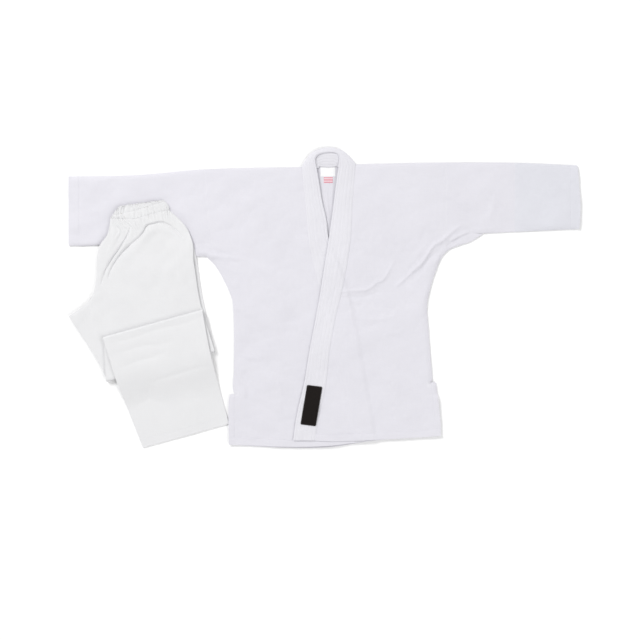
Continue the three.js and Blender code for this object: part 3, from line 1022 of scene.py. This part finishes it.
label("neck_label_satin", "neck_label", back_top, 0.5 * MM, label_satin, "jacket", 1.0 * MM)
label("size_tab_satin", "size_tab", back_top, 0.45 * MM, tab_satin, "jacket", 0.8 * MM)
patch_loop = label("patch", "lapel_patch", lapel_top, 0.9 * MM, patch_cloth, "left_front", 3.0 * MM)
patch_edge = np.c_[patch_loop, lapel_top(patch_loop) + 0.75 * MM]
piping("patch_edge", patch_edge, 1.15 * MM, black_thread, 1.3 * MM, body="left_front")


def upper_rows(layer, paths, thickness=CANVAS):
    """Rows of points on the upper face of a layer."""
    rows = []
    for path in paths:
        places = layer.on_top(along(path, 3.5 * MM), thickness / 2)
        if len(places) > 2:
            rows.append(places)
    return rows


def seam_rows(layer, keep=lambda place: True):
    """Rows along both sides of a layer's seams, for the seams whose middles are kept."""
    paths = [beside(seam, side * 1.9 * MM) for seam in layer.seams for side in (-1, 1)]
    return upper_rows(layer, [path for path in paths if keep(path.mean(0))])


stitches("collar_right_quilting", [*right_rows, *facing_rows], body="jacket")
stitches("collar_left_quilting", left_rows, bend=flap_bend)
stitches("right_front_seams", seam_rows(right), body="jacket")
stitches("left_front_seams", seam_rows(left, lambda p: p[0] < armhole_x), bend=flap_bend)
stitches("left_sleeve_seams", seam_rows(left, lambda p: p[0] >= armhole_x), bend=elbow_bend)


def bartack(node, layer):
    """Close rows of stitches over the top of a vent."""
    low, high = (np.array(corner[:2]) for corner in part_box(node))
    rows = [[(x, low[1]), (x, high[1])] for x in np.arange(low[0] + 0.5 * MM, high[0], 0.9 * MM)]
    places = upper_rows(layer, [along(row, 1.5 * MM) for row in rows])
    stitches(node + "_thread", places, length=1.7 * MM, gap=0.1 * MM, body="jacket", node=node)


bartack("right_bartack", right)
bartack("left_bartack", left)


# ---------------------------------------------------------------- trousers

# In the legs' own plan, X runs along the folds and Y up the leg, from the middle of the lower fold.
LEG_AXES = np.array([leg_way, up_leg])
upper_fold = float((hinge_line("shins_unfold")[0][:2] - leg_place[:2]) @ LEG_AXES[1])
LEG_ORDER = ("right_back", "right_front", "left_front", "left_back")     # from the bottom up, in the thighs


def leg_node(k, stretch):
    """The CAD node of one layer of a stretch of leg: its thigh, its knee or its shin."""
    side, face = LEG_ORDER[k].split("_")
    return f"{side}_{stretch}_{face}"


LAID_LOW = 0.5 * MM        # the middle of the lowest layer, where it lies on the floor
THIGH_TOP = 9.3 * MM       # the middle of the top layer, where the folded legs lie on it
THIGH_AIR = 3.0 * MM       # how much the thighs are puffed up beyond the folded legs
THIGH_SWELLS = [(0.9, 0.14, 21), (0.4, 0.05, 22)]
OVER_SLEEVE = 4.3 * MM     # how much higher the lowest layer lies on the sleeve than on the floor
STACK_GAP = 1.05 * MM      # the least distance between the middles of two layers
CLOSED_GAP = 0.95 * MM     # between front and back at the side seams of the thighs
FOLD_LAP = 3.4 * MM        # how far the cloth of a fold reaches into the layers that it joins
KNEE_MIDDLES = [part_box(leg_node(k, "knee"))[0][2] + 0.6 * MM for k in range(4)]
SHIN_MIDDLES = [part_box(leg_node(k, "shin"))[0][2] + 0.6 * MM for k in range(4)]


def to_leg(points):
    """From the garment's plan to the legs' own."""
    return (points - leg_place[:2]) @ LEG_AXES.T


def from_leg(flat):
    """From the legs' own plan to the garment's."""
    return leg_place[:2] + flat @ LEG_AXES


# Creases in the seat and in the shins, in the legs' plan: a path, a height and a width in mm.
SEAT_CREASES = [
    ([(156, 324), (141, 352), (129, 368), (108, 384), (82, 385), (66, 385), (52, 368), (29, 354), (0, 342),
      (-27, 326), (-59, 298), (-78, 268)], -6.0, 2.6),
    ([(160, 316), (134, 340), (112, 362), (84, 368), (60, 362), (30, 336), (0, 322), (-30, 304)], 2.2, 11),
    ([(24, 396), (9, 373), (-29, 339), (-53, 320), (-85, 287), (-100, 258)], -5.0, 2.4),
    ([(-12, 396), (-34, 366), (-62, 336)], 1.6, 7),
    ([(120, 330), (132, 270), (130, 200)], 1.2, 16),
    ([(30, 310), (10, 240), (-10, 170)], 1.2, 18),
    ([(-80, 230), (-100, 170), (-120, 130)], -1.2, 12),
    ([(-140, 205), (-120, 160), (-126, 124)], 1.0, 9),
]
SHIN_CREASES = [
    ([(-128, 96), (-60, 92), (20, 98), (90, 92), (150, 98)], -1.2, 7),
    ([(-120, 60), (-31, 66), (18, 52), (60, 56)], -1.2, 8),
    ([(27, 32), (-10, 26), (-62, 28), (-110, 20)], -1.3, 7),
    ([(134, -40), (104, -36), (34, -37), (-43, -41)], -1.3, 7),
    ([(-43, -41), (-56, -78), (-65, -108), (-70, -150)], -1.1, 8),
    ([(60, -90), (70, -140), (66, -190)], 0.9, 12),
    ([(120, 80), (128, 10), (120, -60)], 0.9, 10),
]
# The rows of stitches above and below the elastic, in mm, and the pleats that it draws.
BAND_TOP = [(-30, 440), (-21, 438), (44, 433), (127, 436), (146, 440)]
BAND_LOW = [(-34, 433), (-23, 429), (41, 410), (90, 413), (132, 411), (163, 366)]
PLEAT, SMALL_PLEAT = 9.0 * MM, 6.1 * MM
pleat_rows = np.arange(352 * MM, 460 * MM, 2.6 * MM)
WAIST_ROWS = [along([(-90 * MM, b), (185 * MM, b)], 1.9 * MM) for b in pleat_rows]


def gathers(flat, seed):
    """The small pleats that the elastic draws the waist into."""
    a, b = flat.T
    drift = 4 * MM * waves(flat, 0.06, seed) + 0.1 * (b - 430 * MM) * np.sin(a / (31 * MM) + seed)
    turns = 2 * math.pi * (a + drift)
    pleats = np.sin(turns / PLEAT) + 0.35 * np.sin(turns / SMALL_PLEAT)
    frill = 0.8 * MM * ease(b, 438 * MM, 452 * MM)
    return pleats * (0.85 * MM * ease(b, 345 * MM, 412 * MM) + frill)


def sewn_line(flat, path):
    """How deep a row of stitches lies."""
    path = np.array(path) * MM
    return 1.0 * MM * np.exp(-((segment_distance(flat, path[:-1], path[1:]) / (1.8 * MM)) ** 2))


def drawn_back(b, edge, way):
    """The places along a leg, moved a little away from a fold so that its strip of cloth has room to turn."""
    return b + way * 1.3 * MM * (1 - ease(way * (b - edge), 0, 12 * MM))


def side_seams(nodes, low, high):
    """The sides of a stretch of leg, where its front and back are joined, between two places along it."""
    outline = smoothed(one_outline([to_leg(top_outline(node)) for node in nodes]), 8 * MM)
    return stretches(outline, lambda a, b: (b >= low) & (b <= high))


THIGH_SIDES = side_seams(["left_thigh_back", "crotch_gusset", "waistband_left"], 0.006, 0.434)
KNEE_SIDES = side_seams(["left_knee_back"], 0.004, upper_fold - 4 * MM)
SHIN_SIDES = side_seams(["left_shin_back", "left_leg_hem"], -0.206, upper_fold - 4 * MM)


def thigh_height(k):
    """The height of a thigh layer: lifted by the sleeve, puffed up, creased, and gathered at the waist."""
    crease_share = [0.25, 0.2, 0.5, 1.0][k]
    gather_share = [0.15, 0.3, 0.9, 1.0][k]

    def height(flat, seam_depth):
        places = from_leg(flat)
        low = LAID_LOW + OVER_SLEEVE * ease(depth_in(places, silhouette), -24 * MM, 2 * MM)
        a, b = flat.T
        free = ease(b, 122 * MM, 210 * MM)
        top = THIGH_TOP + swelling(flat, THIGH_AIR, THIGH_SWELLS) * free
        # Layers 0 and 1 are one leg, 2 and 3 the other; this is the middle of the leg.
        middle = low + (top - low) * (0.5 if k < 2 else 2.5) / 3
        level = low + (top - low) * k / 3
        roll = round_over(segment_distance(flat, *THIGH_SIDES), 11 * MM)
        level = middle + (level - middle) * roll + (k % 2 - 0.5) * CLOSED_GAP * (1 - roll)
        waist = gathers(flat, 30 + k // 2) * gather_share
        folds = creased(flat, SEAT_CREASES) * crease_share * free
        level = level + folds * roll + waist - dip(seam_depth) * free
        if k == 3:
            level = level - sum(sewn_line(flat, line) for line in (BAND_TOP, BAND_LOW))
        level = np.maximum(level, low + k * STACK_GAP)
        if k > 1:
            inset = 9 * MM * ease(a, 60 * MM, 160 * MM) * ease(b, 90 * MM, 130 * MM)
            a = a - inset * ease(-b, -310 * MM, -250 * MM)
        frill = 2.2 * MM * waves(np.c_[flat[:, 0], np.full(len(a), k * 0.1)], 0.03, 40 + k)
        b = drawn_back(b, 0.0, 1) + frill * ease(b, 436 * MM, 452 * MM)
        return np.c_[from_leg(np.c_[a, b]), level]

    return height


def folded_height(middles, k, sides_of, drape):
    """The height of a knee or shin layer: evenly stacked, closed at the sides, and draped if it is a shin."""
    crease_share, wave_share = [0.0, 0.2, 0.5, 1.0][k], [0, 0.4, 0.7, 1.0][k]
    partner = middles[k ^ 1]
    middle = (middles[k] + partner) / 2
    apart = 0.45 * MM if middles[k] > partner else -0.45 * MM

    def height(flat, seam_depth):
        a, b = flat.T
        level = middles[k] + 0.25 * MM * waves(flat, 0.1, 50 + k)
        roll = round_over(segment_distance(flat, *sides_of), 8 * MM)
        level = middle + (level - middle) * roll + apart * (1 - roll)
        if drape:
            # Beyond the folds below it a shin comes down to the floor, and its layers lie closer together.
            foot = 116 * MM + 14 * MM * np.sin(a / (60 * MM))
            down = (SHIN_MIDDLES[0] - LAID_LOW) * ease(-b, -10 * MM, foot)
            closer = (middles[k] - SHIN_MIDDLES[0]) * 0.35 * ease(-b, 20 * MM, 110 * MM)
            level = level - down - closer + creased(flat, SHIN_CREASES) * crease_share
            level = level + 0.5 * MM * waves(flat, 0.12, 60) * wave_share * ease(-b, -100 * MM, 0)
            level = np.maximum(level, LAID_LOW + k * STACK_GAP)
        b = drawn_back(b, upper_fold, -1)
        if not drape:
            b = drawn_back(b, 0.0, 1)
        return np.c_[from_leg(np.c_[a, b]), level - dip(seam_depth, 0.2 * MM)]

    return height


drill = {"material": trouser_cloth, "thickness": DRILL, "held": "folded"}


def shared(node, others, last):
    """A piece that reaches over several layers, cut with the last of them."""
    return part(node, also=others) if last else part(node, later=True)


def lay_leg(stretch, k, parts, height, step, details=()):
    """A layer of the thighs, the knees or the shins, with the pieces that go with it."""
    node = leg_node(k, stretch)
    body = {"thigh": "trousers", "knee": "knees", "shin": "shins"}[stretch]
    parts = {node + "_cloth": part(node), **parts}
    return lay(parts, height, step, to_leg, details, body=body, **drill)


sewn_lines = [(line, 0, 1.6) for line in (BAND_TOP, BAND_LOW)]
seat_details = [*crease_lines([*SEAT_CREASES, *sewn_lines]), *WAIST_ROWS]
thighs, knees, shins = [], [], []
for k, order in enumerate(LEG_ORDER):
    side = order.split("_")[0]
    parts = {f"{side}_waistband": shared(f"waistband_{side}", thighs[-1:], k in (1, 3))}
    if k in (0, 3):
        parts["crotch_gusset_cloth"] = shared("crotch_gusset", thighs[:1], k == 3)
    details = seat_details if k > 1 else []
    thighs.append(lay_leg("thigh", k, parts, thigh_height(k), 5 * MM if k == 3 else 7 * MM, details))
for k in range(4):
    knees.append(lay_leg("knee", k, {}, folded_height(KNEE_MIDDLES, k, KNEE_SIDES, False), 8 * MM))
for k, order in enumerate(LEG_ORDER):
    side = order.split("_")[0]
    parts = {f"{side}_hem": shared(f"{side}_leg_hem", shins[-1:], k in (1, 3))}
    details = crease_lines(SHIN_CREASES) if k == 3 else []
    height = folded_height(SHIN_MIDDLES, k, SHIN_SIDES, True)
    shins.append(lay_leg("shin", k, parts, height, 5 * MM if k == 3 else 7 * MM, details))


def edge_of(layer, edge):
    """Where a layer's edge at a fold runs: the places along the fold, and the heights there."""
    on_edge = layer.points[np.abs(to_leg(layer.points[:, :2])[:, 1] - edge) < 2.4 * MM]
    a = to_leg(on_edge[:, :2])[:, 0]
    order = np.argsort(a)
    return a[order], on_edge[order, 2]


def turn(name, low_layer, high_layer, edge, side, bodies):
    """The fold that carries one layer of a leg over into the next stretch of it."""
    (low_a, low_z), (high_a, high_z) = edge_of(low_layer, edge), edge_of(high_layer, edge)
    a = np.linspace(max(low_a[0], high_a[0]), min(low_a[-1], high_a[-1]), 60)
    low, high = np.interp(a, low_a, low_z), np.interp(a, high_a, high_z)
    middle, reach = (low + high) / 2, (high - low) / 2
    bulge = side * np.maximum(reach * 0.85, 0.7 * MM)
    lap = edge - side * FOLD_LAP
    rows = [(edge + bulge * math.sin(t), middle - reach * math.cos(t)) for t in np.linspace(0, math.pi, 11)]
    rows = [(lap, low), *rows, (lap, high)]
    points = np.concatenate([np.c_[from_leg(np.c_[a, np.broadcast_to(b, a.shape)]), z] for b, z in rows])
    count = len(a)
    corner = (np.arange(len(rows) - 1)[:, None] * count + np.arange(count - 1)).ravel()
    halves = [corner, corner + 1, corner + count + 1, corner, corner + count + 1, corner + count]
    triangles = np.stack(halves, 1).reshape(-1, 3)
    skin, faces = thicken(points, vertex_normals(points, triangles), triangles, DRILL * 0.8)
    where = from_leg(np.array([[0.0, edge]]))[0]
    start, end = (*where, float(low.mean())), (*where, float(high.mean()))
    piece = add_mesh(name, skin, outward(skin, faces), trouser_cloth, bend=(*bodies, start, end))
    area, span = surface_area(points, triangles), float(a[-1] - a[0])


for k, order in enumerate(LEG_ORDER):
    turn(f"{order}_lower_fold", thighs[k], knees[k], 0.0, -1, ("trousers", "knees"))
    turn(f"{order}_upper_fold", knees[k], shins[k], upper_fold, 1, ("knees", "shins"))


def in_waistband(name, node, below, material):
    """A flat band between two layers of the waistband, drawn into the same gathers."""
    def place(flat):
        far = np.full(len(flat), 1.0)
        low, high = (thigh_height(k)(flat, far) for k in (below, below + 1))
        return low * 0.5 + high * 0.5

    loop = rounded(to_leg(top_outline(node)), 2 * MM)
    small_piece(name, node, loop, 2 * MM, place, 0.7 * MM, material, "trousers")


in_waistband("elastic_right", "waist_elastic_right", 0, elastic_cloth)
in_waistband("drawstring_tape", "drawstring", 1, band_cloth)
in_waistband("elastic_left", "waist_elastic_left", 2, elastic_cloth)


def leg_rows(layer, paths):
    """Rows on a layer of the legs, along paths in mm in their own plan."""
    return upper_rows(layer, [from_leg(np.array(path) * MM) for path in paths], DRILL)


waist_rows = [[(a, b + shift) for a, b in line] for line in (BAND_TOP, BAND_LOW[:5]) for shift in (-2.4, 2.4)]
waist_rows += [[(a, b - 9) for a, b in BAND_TOP], [(a, b - 15) for a, b in BAND_TOP]]
gusset_rows = [[(-160, 6), (-205, 190)], [(-152, 24), (-146, 214)], [(-157, 24), (-151, 216)]]
stitches("waistband_stitching", leg_rows(thighs[3], waist_rows), body="trousers")
stitches("crotch_stitching", leg_rows(thighs[3], gusset_rows), body="trousers")
hem_rows = [[(-110, -191), (139, -191)], [(-110, -188.5), (139, -188.5)], [(-108, -207), (138, -207)]]
stitches("leg_hem_stitching", leg_rows(shins[3], hem_rows), body="shins")


# ---------------------------------------------------------------- stage

def softbox(name, place, size, power):
    """A round lamp that faces the middle of the scene."""
    light = bpy.data.lights.new(name, "AREA")
    light.shape = "DISK"
    light.size = size
    light.energy = power
    lamp = bpy.data.objects.new(name, light)
    lamp.location = place
    lamp.rotation_euler = (-Vector(place)).to_track_quat("-Z", "Y").to_euler()
    bpy.context.scene.collection.objects.link(lamp)


def make_stage():
    nodes = Nodes("floor_paper")
    grain = nodes.noise(nodes.place, 40)
    base = nodes.ramp(grain, [(0.3, (0.97, 0.97, 0.97)), (0.7, (0.98, 0.98, 0.98))])
    normal, roughness = nodes.bump(grain, 0.02, 0.1 * MM), nodes.scaled(grain, 0.05, 0.9)
    nodes.finish(base, normal, roughness, Specular_IOR_Level=0.2)
    mesh = bpy.data.meshes.new("floor")
    reach = 12.0
    corners = [(x * reach, y * reach, 0) for x, y in ((-1, -1), (1, -1), (1, 1), (-1, 1))]
    mesh.from_pydata(corners, [], [(0, 1, 2, 3)])
    mesh.materials.append(nodes.material)
    floor = bpy.data.objects.new("floor", mesh)
    bpy.context.scene.collection.objects.link(floor)


def make_lights():
    world = bpy.data.worlds.new("studio")
    world.use_nodes = True
    background = world.node_tree.nodes["Background"]
    background.inputs["Color"].default_value = (1, 1, 1, 1)
    background.inputs["Strength"].default_value = 0.62
    bpy.context.scene.world = world
    softbox("key", (-3.4, 3.6, 4.4), 2.4, 232)
    softbox("fill", (3.6, -3.0, 4.4), 4.0, 112)
    bpy.context.scene.view_settings.view_transform = "Standard"


def make_camera():
    """Straight above the garment, far enough off for little perspective."""
    height, seen, sensor = 4.0, 1.792, 36.0
    data = bpy.data.cameras.new("camera")
    data.sensor_width = sensor
    data.lens = sensor * height / seen
    camera = bpy.data.objects.new("camera", data)
    camera.location = (-12.6 * MM, -61.6 * MM, height)
    bpy.context.scene.collection.objects.link(camera)
    bpy.context.scene.camera = camera


make_stage()
make_lights()
make_camera()
